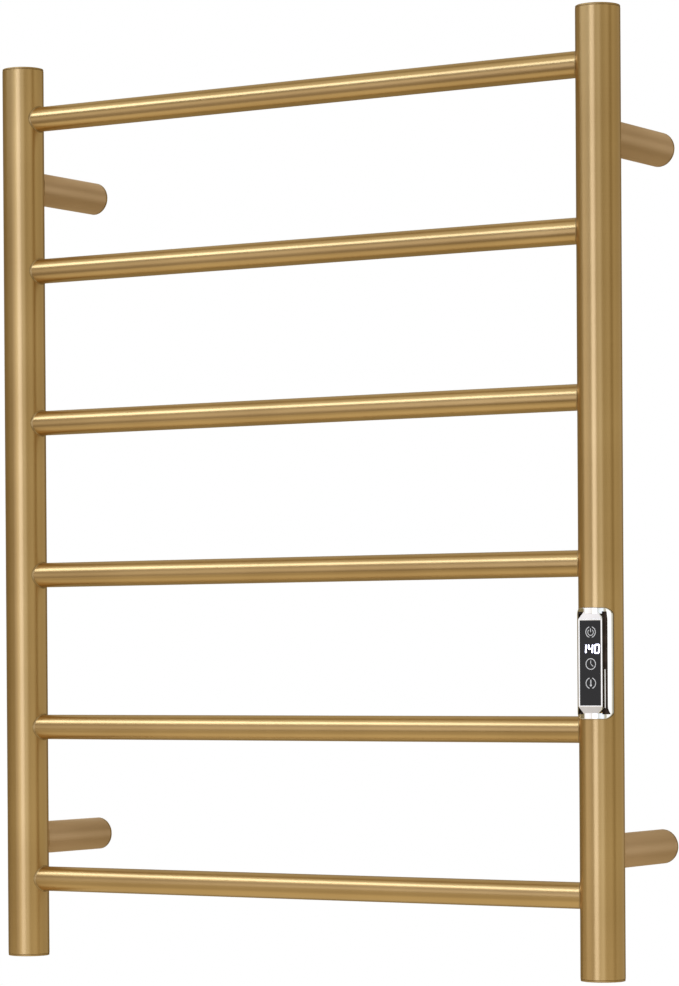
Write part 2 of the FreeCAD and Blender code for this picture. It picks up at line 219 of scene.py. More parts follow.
def bump(nodes, height, strength, distance):
    node = nodes.add("ShaderNodeBump")
    node.inputs["Strength"].default_value = strength
    node.inputs["Distance"].default_value = distance
    nodes.link(height, node.inputs["Height"])
    return node.outputs["Normal"]


GOLD_DARK = (0.56, 0.375, 0.165)
GOLD_LIGHT = (0.68, 0.47, 0.215)


ANISOTROPY = 0.75
GRAIN_TURN = 0.25


def brushed_gold(name, axis, roughness=0.32, tones=(GOLD_DARK, GOLD_LIGHT)):
    """Tube with its grain running round it. Reflections are sharp round the tube, soft along it."""
    material, nodes, shader = new_material(name)
    index = "XYZ".index(axis)
    along = [0.35, 0.35, 0.35]
    along[index] = 40.0
    grain = noise(nodes, coordinates(nodes, along), 60.0, 4.0, 0.65)
    cloud = noise(nodes, coordinates(nodes, (1, 1, 1)), 9.0, 2.0, 0.5)
    tone = nodes.math("ADD", nodes.math("MULTIPLY", grain, 0.16), nodes.math("MULTIPLY", cloud, 0.84))
    nodes.link(nodes.ramp(tone, ((0.3, tones[0]), (0.7, tones[1]))), shader.inputs["Base Color"])
    spread = nodes.math("MULTIPLY_ADD", grain, 0.05, roughness - 0.025)
    nodes.link(spread, shader.inputs["Roughness"])
    nodes.link(bump(nodes, grain, 0.02, 0.00002), shader.inputs["Normal"])
    shader.inputs["Metallic"].default_value = 1.0
    shader.inputs["Anisotropic"].default_value = ANISOTROPY
    shader.inputs["Anisotropic Rotation"].default_value = GRAIN_TURN
    tangent = nodes.add("ShaderNodeTangent", direction_type="RADIAL", axis=axis)
    nodes.link(tangent.outputs[0], shader.inputs["Tangent"])
    return material


def satin_gold(name, shade=1.0, roughness=0.4):
    material, nodes, shader = new_material(name)
    cloud = noise(nodes, coordinates(nodes, (1, 1, 1)), 220.0, 4.0, 0.6)
    dark = tuple(shade * value for value in GOLD_DARK)
    light = tuple(shade * value for value in GOLD_LIGHT)
    nodes.link(nodes.ramp(cloud, ((0.3, dark), (0.7, light))), shader.inputs["Base Color"])
    nodes.link(nodes.math("MULTIPLY_ADD", cloud, 0.12, roughness - 0.06), shader.inputs["Roughness"])
    nodes.link(bump(nodes, cloud, 0.08, 0.00003), shader.inputs["Normal"])
    shader.inputs["Metallic"].default_value = 1.0
    return material


def plain_kind(name, low, high, scale, roughness, metallic=0.0, depth=0.00003, strength=0.2, gloss=0.5):
    """Two close tones mixed by noise, with the same noise in its roughness and bump."""
    material, nodes, shader = new_material(name)
    cloud = noise(nodes, coordinates(nodes, (1, 1, 1)), scale, 4.0, 0.6)
    nodes.link(nodes.ramp(cloud, ((0.3, low), (0.7, high))), shader.inputs["Base Color"])
    nodes.link(nodes.math("MULTIPLY_ADD", cloud, 0.1, roughness - 0.05), shader.inputs["Roughness"])
    nodes.link(bump(nodes, cloud, strength, depth), shader.inputs["Normal"])
    shader.inputs["Metallic"].default_value = metallic
    shader.inputs["Specular IOR Level"].default_value = gloss
    return material


def circuit_board():
    """Green solder mask with copper runs under it."""
    material, nodes, shader = new_material("circuit_board")
    bricks = nodes.add("ShaderNodeTexBrick")
    bricks.inputs["Scale"].default_value = 180.0
    bricks.inputs["Color1"].default_value = (0.012, 0.09, 0.035, 1)
    bricks.inputs["Color2"].default_value = (0.016, 0.12, 0.045, 1)
    bricks.inputs["Mortar"].default_value = (0.05, 0.2, 0.06, 1)
    nodes.link(coordinates(nodes, (1, 1, 1)), bricks.inputs["Vector"])
    nodes.link(bricks.outputs["Color"], shader.inputs["Base Color"])
    nodes.link(bump(nodes, bricks.outputs["Fac"], 0.3, 0.00003), shader.inputs["Normal"])
    shader.inputs["Roughness"].default_value = 0.35
    return material


def chrome(name, low=(0.78, 0.79, 0.8), high=(0.9, 0.9, 0.9), roughness=0.07):
    material, nodes, shader = new_material(name)
    smear = noise(nodes, coordinates(nodes, (1, 1, 1)), 120.0, 3.0, 0.5)
    nodes.link(nodes.ramp(smear, ((0.25, low), (0.75, high))), shader.inputs["Base Color"])
    nodes.link(nodes.math("MULTIPLY_ADD", smear, 0.04, roughness - 0.02), shader.inputs["Roughness"])
    shader.inputs["Metallic"].default_value = 1.0
    return material


def lit(name, colour, strength, low, high):
    """Lit marks, and printed marks given a faint painted glow: an even glow with a faint grain."""
    material, nodes, shader = new_material(name)
    cloud = noise(nodes, coordinates(nodes, (1, 1, 1)), 900.0, 2.0, 0.5)
    nodes.link(nodes.ramp(cloud, ((0.3, low), (0.7, high))), shader.inputs["Base Color"])
    shader.inputs["Roughness"].default_value = 0.4
    shader.inputs["Emission Color"].default_value = (*colour, 1)
    shader.inputs["Emission Strength"].default_value = strength
    return material


GOLD_Z = brushed_gold("brushed_gold_upright", "Z")
GOLD_X = brushed_gold("brushed_gold_across", "X")
GOLD_MATTE = ((0.68, 0.485, 0.30), (0.79, 0.575, 0.38))
GOLD_Y = brushed_gold("brushed_gold_back", "Y", roughness=0.5, tones=GOLD_MATTE)
# The weld beads take a darkened copy of the gold (shade 0.72): painted contact shade where the bars and
# stand-offs meet the posts.
GOLD_BEAD_PAINTED_SHADE = satin_gold("brushed_gold_bead_painted_shade", 0.72, 0.38)
GOLD_CAP = satin_gold("brushed_gold_cap", 0.8, 0.42)
GOLD_BASE = satin_gold("brushed_gold_base", 0.75, 0.45)
CHROME = chrome("polished_chrome")
# Near-black chrome: a painted dark reflection on the housing's upright sides and the hollow fillets.
DARK_REFLECTION_CHROME = chrome("chrome_painted_dark_reflection", (0.016, 0.012, 0.010), (0.05, 0.036, 0.03), 0.12)
# Dark silicone for the seal; the strip of it that stands out past the plate is a painted contact shadow.
SEAL_PAINTED_SHADOW = plain_kind("seal_silicone_painted_shadow", (0.012, 0.011, 0.010), (0.02, 0.018, 0.017), 400.0, 0.7)
GLASS_TONES = ((0.004, 0.0045, 0.006), (0.006, 0.0065, 0.008))
GLASS = plain_kind("black_glass", *GLASS_TONES, 30.0, 0.1, depth=0.00001, strength=0.02, gloss=0.33)
# The printed key marks glow faintly: painted light that keeps them light grey on the dark glass.
PRINT_PAINTED_GLOW = lit("printed_grey_painted_glow", (0.85, 0.83, 0.8), 0.16, (0.42, 0.42, 0.42), (0.5, 0.5, 0.49))
DIGITS = lit("lit_digits", (0.82, 0.86, 1.0), 3.2, (0.7, 0.7, 0.8), (0.8, 0.8, 0.9))
HALO = lit("digit_halo", (0.35, 0.25, 0.9), 0.07, (0.02, 0.02, 0.05), (0.03, 0.03, 0.06))

SLOT_MATERIALS = {
    "zinc_steel": plain_kind("zinc_steel", (0.42, 0.42, 0.44), (0.56, 0.56, 0.58), 300.0, 0.35, 1.0),
    "black_silicone": plain_kind("black_silicone", (0.012, 0.012, 0.013), (0.03, 0.03, 0.03), 400.0, 0.7),
    "circuit_board": circuit_board(),
    "brass_metal": plain_kind("brass_metal", (0.5, 0.36, 0.14), (0.62, 0.46, 0.2), 300.0, 0.3, 1.0),
    "black_plastic": plain_kind("black_plastic", (0.012, 0.012, 0.013), (0.025, 0.025, 0.026), 900.0, 0.5),
    "white_plastic": plain_kind("white_plastic", (0.66, 0.66, 0.62), (0.76, 0.76, 0.73), 700.0, 0.5),
    "silicone_cable": plain_kind("silicone_cable", (0.34, 0.035, 0.02), (0.46, 0.06, 0.035), 500.0, 0.55),
    "white_silicone": plain_kind("white_silicone", (0.6, 0.6, 0.57), (0.74, 0.74, 0.71), 500.0, 0.55),
    "earth_green": plain_kind("earth_green", (0.05, 0.25, 0.03), (0.10, 0.36, 0.05), 500.0, 0.5),
    "brushed_gold": GOLD_BASE,
    "chrome": CHROME,
    "black_glass": GLASS,
}


# ------------------------------------------------------------------ posts and caps


def make_post(side):
    node = "%s_post" % side
    low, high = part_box(node)
    x = SIDES[side] * POST_X
    inner = POST_R - POST_WALL
    rows = (
        (inner, low.z),
        (POST_R - EDGE, low.z),
        (POST_R, low.z + EDGE),
        (POST_R, high.z - EDGE),
        (POST_R - EDGE, high.z),
        (inner, high.z),
    )
    loops = []
    for radius, z in rows:
        loops.append([(x + radius * math.cos(a), AXIS_Y + radius * math.sin(a), z) for a in angles()])
    post = shell("%s_post_tube" % side, loops, GOLD_Z, sharp_angle=40)
    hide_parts(node)


CAP_SEAM = 0.12 * MM
CAP_ROUND = 0.45 * MM
CAP_STEPS = 6


def make_cap(side, end):
    """A disc with a rounded rim, standing a hair off the tube so that its seam shows."""
    node = "%s_post_%s_cap" % (side, end)
    low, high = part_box(node)
    post_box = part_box("%s_post" % side)
    x = SIDES[side] * POST_X
    sign = 1 if end == "top" else -1
    tip = high.z if end == "top" else low.z
    root = post_box[1].z if end == "top" else post_box[0].z
    spigot = low.z if end == "top" else high.z
    disc_r = POST_R - CAP_SEAM
    inner = POST_R - POST_WALL - CAP_SEAM
    seam = root + sign * CAP_SEAM
    rows = [(HOLE, spigot), (inner, spigot), (inner, seam), (disc_r, seam)]
    for step in range(CAP_STEPS + 1):
        turn = math.pi / 2 * step / CAP_STEPS
        radius = disc_r - CAP_ROUND * (1 - math.cos(turn))
        rows.append((radius, tip - sign * CAP_ROUND * (1 - math.sin(turn))))
    rows.append((disc_r * 0.6, tip))
    rows.append((HOLE, tip))
    loops = []
    for radius, z in rows:
        loops.append([(x + radius * math.cos(a), AXIS_Y + radius * math.sin(a), z) for a in angles()])
    cap = shell("%s_post_%s_cap_disc" % (side, end), loops, GOLD_CAP, sharp_angle=50)
    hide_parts(node)


# ------------------------------------------------------------------ bars, stand-offs and their beads


def bar_point(side, radius, angle, gap, z):
    """Point on a bar-sized tube at its meeting with a post, held off the post by gap."""
    sign = SIDES[side]
    x = sign * (POST_X - saddle(radius, angle) - gap)
    return (x, AXIS_Y + radius * math.cos(angle), z + radius * math.sin(angle))


def make_bar(node):
    z = centre_of(node).z
    loops = []
    inner = BAR_R - BAR_WALL
    for side, radius in (("left", BAR_R), ("right", BAR_R), ("right", inner), ("left", inner)):
        loops.append([bar_point(side, radius, a, TUBE_GAP, z) for a in angles()])
    bar = shell("%s_tube" % node, loops, GOLD_X, sharp_angle=50)
    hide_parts(node)


def bead_section():
    """(distance out from the branch tube, gap from the post) round one weld bead."""
    rows = [(BEAD_GAP, BEAD_REACH)]
    for step in range(BEAD_STEPS + 1):
        turn = math.pi / 2 * step / BEAD_STEPS
        rows.append((BEAD_GAP + BEAD * (1 - math.cos(turn)), BEAD_GAP + BEAD * (1 - math.sin(turn))))
    rows.append((BEAD_REACH, BEAD_GAP))
    rows.append((BEAD_REACH, -BEAD_ROOT))
    rows.append((-BEAD_ROOT, -BEAD_ROOT))
    rows.append((-BEAD_ROOT, BEAD_REACH))
    return rows


def make_beads(name, node, rings, material):
    """rings holds, for each bead, a function from (radius growth, gap, angle) to a point."""
    verts = []
    faces = []
    section = bead_section()
    for place in rings:
        loops = [[place(out, gap, a) for a in angles()] for out, gap in section]
        offset = len(verts)
        verts.extend(point for loop in loops for point in loop)
        faces.extend(tuple(offset + i for i in face) for face in bridge_loops(loops))
    beads = make_object(name, verts, faces, material, True, 50)
    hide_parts(node)


def bar_ring(side, z):
    return lambda out, gap, angle: bar_point(side, BAR_R + out, angle, gap, z)


def off_point(x, z, radius, angle, gap):
    y = AXIS_Y + saddle(radius, angle) + gap
    return (x + radius * math.cos(angle), y, z + radius * math.sin(angle))


def off_ring(x, z):
    return lambda out, gap, angle: off_point(x, z, OFF_R + out, angle, gap)


def make_standoff(node):
    centre = centre_of(node)
    low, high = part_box(node)
    inner = OFF_R - OFF_WALL
    back = high.y
    loops = [[off_point(centre.x, centre.z, OFF_R, a, TUBE_GAP) for a in angles()]]
    for radius, y in ((OFF_R, back - EDGE), (OFF_R - EDGE, back), (inner, back)):
        ring = [(radius * math.cos(a), radius * math.sin(a)) for a in angles()]
        loops.append([(centre.x + across, y, centre.z + up) for across, up in ring])
    loops.append([off_point(centre.x, centre.z, inner, a, TUBE_GAP) for a in angles()])
    tube = shell("%s_tube" % node, loops, GOLD_Y, sharp_angle=50)
    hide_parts(node)


# ------------------------------------------------------------------ the control

control_low, control_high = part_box("control_bezel")
CONTROL_X = POST_X
CONTROL_Z = (control_low.z + control_high.z) / 2
FACE_DEPTH = AXIS_Y - control_low.y
FLANGE_HALF_W = (control_high.x - control_low.x) / 2
FLANGE_HALF_H = (control_high.z - control_low.z) / 2
glass_low, glass_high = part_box("control_glass")
GLASS_HALF_W = (glass_high.x - glass_low.x) / 2
GLASS_HALF_H = (glass_high.z - glass_low.z) / 2
GLASS_BACK = AXIS_Y - glass_high.y
GLASS_FRONT = AXIS_Y - glass_low.y
WINDOW_FRONT = GLASS_FRONT - 0.4 * MM
FACE_RELIEF = 0.4 * MM
FACE_HALF_W = 9.45 * MM
FACE_HALF_H = 31.0 * MM
SHOULDER_DEPTH = 16.3 * MM
SHOULDER_HALF_W = 9.7 * MM
SHOULDER_HALF_H = 36.3 * MM
CUT_W = 4.6 * MM
CUT_H = 4.4 * MM
HOUSING_BACK = 12.0 * MM
PLATE_CORNER = 5.0 * MM
PLATE_TURN = 12
PLATE_EDGE = 24
FLANGE_R = 17.2 * MM
GASKET_R = 16.32 * MM
LIFT = 0.35 * MM


def on_control(x, depth, z):
    """Point measured from the post's axis at the control's height, depth being towards the front."""
    return (CONTROL_X + x, AXIS_Y - depth, CONTROL_Z + z)


def rounded_loop(half_w, half_h, corner, per_corner=10, per_edge=0):
    """Points of a rounded rectangle, anticlockwise from the front, with per_edge extra on both ends."""
    points = []
    for index, (sx, sz) in enumerate(((1, 1), (-1, 1), (-1, -1), (1, -1))):
        for step in range(per_corner):
            turn = math.pi / 2 * (index + step / (per_corner - 1))
            x = sx * (half_w - corner) + corner * math.cos(turn)
            z = sz * (half_h - corner) + corner * math.sin(turn)
            points.append((x, z))
        if index in (0, 2):
            reach = half_w - corner
            for step in range(1, per_edge + 1):
                x = sx * reach * (1 - 2 * step / (per_edge + 1))
                points.append((x, sz * half_h))
    return points


def hug(x, radius):
    return math.sqrt(max(radius**2 - x**2, 0))


def make_flange():
    """The plate that follows the post, with a rounded edge."""
    rows = []
    inner_gap = 4.2 * MM
    edge_round = 0.45 * MM
    rows.append((inner_gap, GASKET_R))
    rows.append((0.0, GASKET_R))
    rows.append((0.0, FLANGE_R - edge_round))
    for step in range(1, 7):
        turn = math.pi / 2 * step / 6
        inset = edge_round * (1 - math.cos(turn))
        rows.append((inset, FLANGE_R - edge_round * (1 - math.sin(turn))))
    rows.append((1.2 * MM, FLANGE_R))
    rows.append((2.4 * MM, FLANGE_R))
    rows.append((inner_gap, FLANGE_R))
    loops = []
    for inset, radius in rows:
        half_w = FLANGE_HALF_W - inset
        half_h = FLANGE_HALF_H - inset
        corner = max(PLATE_CORNER - inset, 0.8 * MM)
        outline = rounded_loop(half_w, half_h, corner, PLATE_TURN, PLATE_EDGE)
        loops.append([on_control(x, hug(x, radius), z) for x, z in outline])
    return loops


def face_outline(half_w, half_h, cut_w, cut_h):
    """An octagon: a rectangle with its corners cut off."""
    return [
        (half_w, half_h - cut_h),
        (half_w - cut_w, half_h),
        (-half_w + cut_w, half_h),
        (-half_w, half_h - cut_h),
        (-half_w, -half_h + cut_h),
        (-half_w + cut_w, -half_h),
        (half_w - cut_w, -half_h),
        (half_w, -half_h + cut_h),
    ]


def make_housing():
    """The raised frame round the glass: a flat rim, sloping facets with cut corners, and upright sides."""
    tiny = 0.12 * MM
    recess = 16.92 * MM
    rim = FACE_DEPTH - FACE_RELIEF
    opening_w = GLASS_HALF_W + 0.06 * MM
    opening_h = GLASS_HALF_H + 0.06 * MM
    rows = [
        (face_outline(opening_w, opening_h, tiny, tiny), recess),
        (face_outline(opening_w, opening_h, tiny, tiny), rim - 0.25 * MM),
        (face_outline(opening_w + 0.25 * MM, opening_h + 0.25 * MM, tiny, tiny), rim),
        (face_outline(FACE_HALF_W - 0.2 * MM, FACE_HALF_H - 0.2 * MM, tiny, tiny), rim),
        (face_outline(FACE_HALF_W, FACE_HALF_H, 0.3 * MM, 0.3 * MM), rim - 0.2 * MM),
        (face_outline(SHOULDER_HALF_W, SHOULDER_HALF_H, CUT_W, CUT_H), SHOULDER_DEPTH),
        (face_outline(SHOULDER_HALF_W + 0.5 * MM, SHOULDER_HALF_H + 0.3 * MM, CUT_W, CUT_H), HOUSING_BACK),
        (face_outline(opening_w, opening_h, tiny, tiny), HOUSING_BACK),
    ]
    return [[on_control(x, depth, z + LIFT) for x, z in outline] for outline, depth in rows]


# Section of the hollow curve: distance sideways and forward from the axis of the post, in millimetres
FILLET = (
    (9.40, 17.10),
    (9.62, 16.30),
    (9.85, 15.45),
    (10.05, 14.85),
    (10.40, 14.20),
    (10.90, 13.65),
)
# Column of fillet faces, and the part of the fillet's height from the bottom, that take bright chrome: a
# painted highlight streak.
PAINTED_HIGHLIGHT_COLUMN = 3
PAINTED_HIGHLIGHT_SPAN = (0.06, 0.42)
FILLET_ROWS = 48
FILLET_HALF_H = 36.2 * MM


def make_fillet(side):
    """The hollow curve between the raised frame and the plate. It spreads out towards its lower end. It is
    near-black chrome, a painted dark reflection, with one column of bright chrome faces over its lower part
    as a painted highlight streak.
    """
    sign = SIDES[side]
    verts = []
    for row in range(FILLET_ROWS + 1):
        along = row / FILLET_ROWS
        z = -FILLET_HALF_H + 2 * FILLET_HALF_H * along
        foot = 11.5 + 1.5 * max(0, 1 - along / 0.07) ** 1.5 - 0.5 * max(0, (along - 0.93) / 0.07)
        section = [(x * MM, depth * MM) for x, depth in FILLET]
        section.append((foot * MM, hug(foot * MM, FLANGE_R) + 0.03 * MM))
        section.append((foot * MM, hug(foot * MM, FLANGE_R) - 0.2 * MM))
        section.append((9.0 * MM, 13.2 * MM))
        section.append((9.0 * MM, 16.6 * MM))
        verts.extend(on_control(sign * x, depth, z + LIFT) for x, depth in section)
    count = len(verts) // (FILLET_ROWS + 1)
    faces = [tuple(range(count)), tuple(range(FILLET_ROWS * count, len(verts)))]
    for row in range(FILLET_ROWS):
        for i in range(count):
            j = (i + 1) % count
            faces.append((row * count + i, row * count + j, (row + 1) * count + j, (row + 1) * count + i))
    fillet = make_object("control_fillet_%s" % side, verts, faces, DARK_REFLECTION_CHROME, True, 40)
    # Bright chrome on one column of faces: a painted highlight on the near-black painted reflection.
    fillet.data.materials.append(CHROME)
    for polygon in fillet.data.polygons:
        row, i = divmod(polygon.index - 2, count)
        in_painted_highlight = PAINTED_HIGHLIGHT_SPAN[0] < row / FILLET_ROWS < PAINTED_HIGHLIGHT_SPAN[1]
        if polygon.index >= 2 and i == PAINTED_HIGHLIGHT_COLUMN and in_painted_highlight:
            polygon.material_index = 1
    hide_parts("control_bezel")


def make_seal():
    """The soft seal, pushed 0.1 mm out past the plate so that it shows as a thin dark line round the plate:
    a painted contact shadow.
    """
    # How far the seal stands out past the plate, so that its dark edge is a painted contact shadow.
    painted_shadow_outset = 0.1 * MM
    loops = []
    for inset, radius in ((1.5 * MM, POST_R), (-painted_shadow_outset, POST_R), (-painted_shadow_outset, GASKET_R), (1.5 * MM, GASKET_R)):
        half_w = FLANGE_HALF_W - inset
        half_h = FLANGE_HALF_H - inset
        outline = rounded_loop(half_w, half_h, PLATE_CORNER - inset, PLATE_TURN, PLATE_EDGE)
        loops.append([on_control(x, hug(x, radius), z) for x, z in outline])
    seal = shell("control_seal_painted_shadow", loops, SEAL_PAINTED_SHADOW, sharp_angle=40)
    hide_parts("control_gasket")


def make_control():
    flange = shell("control_flange", make_flange(), CHROME, sharp_angle=38)
    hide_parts("control_bezel")
    housing = shell("control_housing", make_housing(), CHROME, sharp_angle=25)
    housing.data.materials.append(DARK_REFLECTION_CHROME)
    # The housing's upright side faces get the near-black chrome: painted dark reflection.
    side_limit = SHOULDER_HALF_H - CUT_H
    for polygon in housing.data.polygons:
        centre = polygon.center
        dark_reflection_side = abs(centre.x - CONTROL_X) > FACE_HALF_W and abs(polygon.normal.x) > 0.6
        if dark_reflection_side and abs(centre.z - CONTROL_Z) < side_limit:
            polygon.material_index = 1
    bevel = housing.modifiers.new("bevel", "BEVEL")
    bevel.width = 0.22 * MM
    bevel.segments = 3
    bevel.limit_method = "ANGLE"
    bevel.angle_limit = math.radians(25)
    bevel.harden_normals = True
    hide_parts("control_bezel")
    loops = []
    soft = 0.15 * MM
    for half_w, half_h, depth in (
        (0.05 * MM, 0.05 * MM, GLASS_BACK),
        (GLASS_HALF_W, GLASS_HALF_H, GLASS_BACK),
        (GLASS_HALF_W, GLASS_HALF_H, WINDOW_FRONT - soft),
        (GLASS_HALF_W - soft * 0.3, GLASS_HALF_H - soft * 0.3, WINDOW_FRONT - soft * 0.3),
        (GLASS_HALF_W - soft, GLASS_HALF_H - soft, WINDOW_FRONT),
        (0.05 * MM, 0.05 * MM, WINDOW_FRONT),
    ):
        outline = rounded_loop(half_w, half_h, min(0.4 * MM, half_w * 0.5), 6)
        loops.append([on_control(x, depth, z + LIFT) for x, z in outline])
    window = shell("control_window", loops, GLASS, sharp_angle=30)
    for polygon in window.data.polygons:
        if abs(polygon.normal.y) > 0.999:
            polygon.use_smooth = False
    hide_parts("control_glass")
    for side in SIDES:
        make_fillet(side)
    make_seal()


# ------------------------------------------------------------------ printed keys and lit digits

PRINT_LOW = WINDOW_FRONT + 0.002 * MM
PRINT_HIGH = WINDOW_FRONT + 0.03 * MM


class Marks:
    """Thin flat-topped shapes on the glass, collected into one mesh."""

    def __init__(self, low=PRINT_LOW, high=PRINT_HIGH):
        self.verts = []
        self.faces = []
        self.low = low
        self.high = high

    def strip(self, outer, inner, closed):
        """Solid between two lines of points of equal length, from (x, z) pairs."""
        offset = len(self.verts)
        count = len(outer)
        for depth in (self.low, self.high):
            for line in (outer, inner):
                self.verts.extend(on_control(x, depth, z) for x, z in line)
        spans = count if closed else count - 1
        for i in range(spans):
            j = (i + 1) % count
            a, b, c, d = (offset + count * k for k in range(4))
            self.faces.append((a + i, a + j, b + j, b + i))
            self.faces.append((c + i, c + j, d + j, d + i))
            self.faces.append((a + i, a + j, c + j, c + i))
            self.faces.append((b + i, b + j, d + j, d + i))
        if not closed:
            for k in (0, count - 1):
                self.faces.append(tuple(offset + count * m + k for m in (0, 1, 3, 2)))

    def arc(self, x, z, radius, width, start=0.0, end=360.0):
        """Ring or part of one. Angles in degrees, anticlockwise from the right."""
        closed = end - start >= 360
        count = 56 if closed else max(8, int((end - start) / 6))
        steps = count if closed else count - 1
        lines = []
        for r in (radius + width / 2, radius - width / 2):
            line = []
            for i in range(count):
                a = math.radians(start + (end - start) * i / steps)
                line.append((x + r * math.cos(a), z + r * math.sin(a)))
            lines.append(line)
        self.strip(lines[0], lines[1], closed)

    def stroke(self, x0, z0, x1, z1, width):
        """Bar with round ends."""
        run = Vector((x1 - x0, z1 - z0))
        turn = math.atan2(run.y, run.x)
        outline = []
        for cx, cz, first in ((x1, z1, turn - math.pi / 2), (x0, z0, turn + math.pi / 2)):
            for i in range(7):
                a = first + math.pi * i / 6
                outline.append((cx + width / 2 * math.cos(a), cz + width / 2 * math.sin(a)))
        self.fill(outline)

    def fill(self, outline):
        """Solid with the outline's shape, which is convex."""
        offset = len(self.verts)
        count = len(outline)
        for depth in (self.low, self.high):
            self.verts.extend(on_control(x, depth, z) for x, z in outline)
        self.faces.append(tuple(range(offset, offset + count)))
        self.faces.append(tuple(range(offset + count, offset + 2 * count)))
        for i in range(count):
            j = (i + 1) % count
            self.faces.append((offset + i, offset + j, offset + count + j, offset + count + i))

    def finish(self, name, material):
        marks = make_object(name, self.verts, self.faces, material, False)
        return marks


MARK_X = 0.5 * MM
RING_R = 3.75 * MM
RING_W = 0.6 * MM
KEY_POWER = 22.1 * MM
KEY_CLOCK = -0.4 * MM
KEY_HEAT = -13.9 * MM
DIGIT_X = 0.35 * MM
DIGIT_Z = 10.3 * MM
SPLIT = 16.0


def make_keys():
    power = Marks()
    for start in (90 + SPLIT, -90 + SPLIT):
        power.arc(MARK_X, KEY_POWER, RING_R, RING_W, start, start + 180 - 2 * SPLIT)
    power.arc(MARK_X, KEY_POWER - 0.2 * MM, 2.15 * MM, 0.5 * MM, 128, 412)
    power.stroke(MARK_X, KEY_POWER + 0.2 * MM, MARK_X, KEY_POWER + 2.3 * MM, 0.6 * MM)
    power.finish("key_mark_power", PRINT_PAINTED_GLOW)
    clock = Marks()
    clock.arc(MARK_X, KEY_CLOCK, RING_R, RING_W)
    clock.stroke(MARK_X, KEY_CLOCK + 2.3 * MM, MARK_X, KEY_CLOCK + 0.4 * MM, 0.55 * MM)
    hand_end = (MARK_X + 1.7 * MM, KEY_CLOCK - 1.5 * MM)
    clock.stroke(MARK_X + 0.3 * MM, KEY_CLOCK - 0.25 * MM, *hand_end, 0.55 * MM)
    clock.finish("key_mark_clock", PRINT_PAINTED_GLOW)
    heat = Marks()
    for start in (90 + SPLIT, -90 + SPLIT):
        heat.arc(MARK_X, KEY_HEAT, RING_R, RING_W, start, start + 180 - 2 * SPLIT)
    heat.stroke(MARK_X, KEY_HEAT - 0.3 * MM, MARK_X, KEY_HEAT + 2.2 * MM, 0.8 * MM)
    heat.arc(MARK_X, KEY_HEAT - 1.5 * MM, 0.42 * MM, 0.8 * MM)
    heat.finish("key_mark_heat", PRINT_PAINTED_GLOW)


SEGMENT_LINES = {
    "a": ((0, 2), (1, 2)),
    "b": ((1, 2), (1, 1)),
    "c": ((1, 1), (1, 0)),
    "d": ((0, 0), (1, 0)),
    "e": ((0, 0), (0, 1)),
    "f": ((0, 1), (0, 2)),
    "g": ((0, 1), (1, 1)),
}
DIGIT_SEGMENTS = {"1": "bc", "4": "bcfg", "0": "abcdef"}


DIGITS_SHOWN = "140"


def make_digits():
    width = 3.1 * MM
    height = 2.9 * MM
    pitch = 5.15 * MM
    lean = 0.06
    for name, material, thick, low, high in (
        ("display_glow", HALO, 1.95 * MM, 0.001 * MM, 0.012 * MM),
        ("display_digits", DIGITS, 1.0 * MM, 0.013 * MM, 0.035 * MM),
    ):
        marks = Marks(WINDOW_FRONT + low, WINDOW_FRONT + high)
        for place, digit in enumerate(DIGITS_SHOWN):
            left = DIGIT_X + (place - 1) * pitch - width / 2
            for segment in DIGIT_SEGMENTS[digit]:
                ends = []
                for column, row in SEGMENT_LINES[segment]:
                    z = (row - 1) * height
                    ends.append((left + column * width + lean * z, DIGIT_Z + z))
                (x0, z0), (x1, z1) = ends
                length = math.hypot(x1 - x0, z1 - z0)
                trim = 0.42 * MM / length
                dx = (x1 - x0) * trim
                dz = (z1 - z0) * trim
                marks.stroke(x0 + dx, z0 + dz, x1 - dx, z1 - dz, thick)
        marks.finish(name, material)


# ------------------------------------------------------------------ everything on the rack

for side in SIDES:
    make_post(side)
    for end in ("top", "bottom"):
        make_cap(side, end)
for node in BAR_NAMES:
    make_bar(node)
for node in OFF_NAMES:
    make_standoff(node)
bar_rings = [bar_ring(side, centre_of(node).z) for side in SIDES for node in BAR_NAMES]
# The beads' darker gold is painted contact shade at the joints.
make_beads("bar_weld_beads", "bar_welds", bar_rings, GOLD_BEAD_PAINTED_SHADE)
off_rings = [off_ring(centre_of(node).x, centre_of(node).z) for node in OFF_NAMES]
make_beads("standoff_weld_beads", "standoff_welds", off_rings, GOLD_BEAD_PAINTED_SHADE)
make_control()
make_keys()
make_digits()

slot_of = {entry["node"]: entry["material_slot"] for entry in frame["record"]["subparts"]}
for node, obj in frame["nodes"].items():
    material = SLOT_MATERIALS[slot_of[node]]
    if not obj.data.materials:
        obj.data.materials.append(material)
    for index in range(len(obj.data.materials)):
        obj.data.materials[index] = material


# ------------------------------------------------------------------ floor, light and camera

FLOOR_Z = -1.15


def make_floor():
    material, nodes, shader = new_material("studio_floor")
    cloud = noise(nodes, coordinates(nodes, (1, 1, 1)), 3.0, 2.0, 0.5)
    nodes.link(nodes.ramp(cloud, ((0.3, 0.86), (0.7, 0.88))), shader.inputs["Base Color"])
    shader.inputs["Roughness"].default_value = 0.9
    shader.inputs["Emission Color"].default_value = (0.56, 0.66, 1.0, 1)
    shader.inputs["Emission Strength"].default_value = 0.42
    mesh = bpy.data.meshes.new("studio_floor")
    half = 4.0
    corners = [(x * half, y * half, FLOOR_Z) for x, y in ((-1, -1), (1, -1), (1, 1), (-1, 1))]
    mesh.from_pydata(corners, [], [(0, 1, 2, 3)])
    mesh.materials.append(material)
    floor = bpy.data.objects.new("studio_floor", mesh)
    bpy.context.scene.collection.objects.link(floor)
    floor.visible_glossy = False


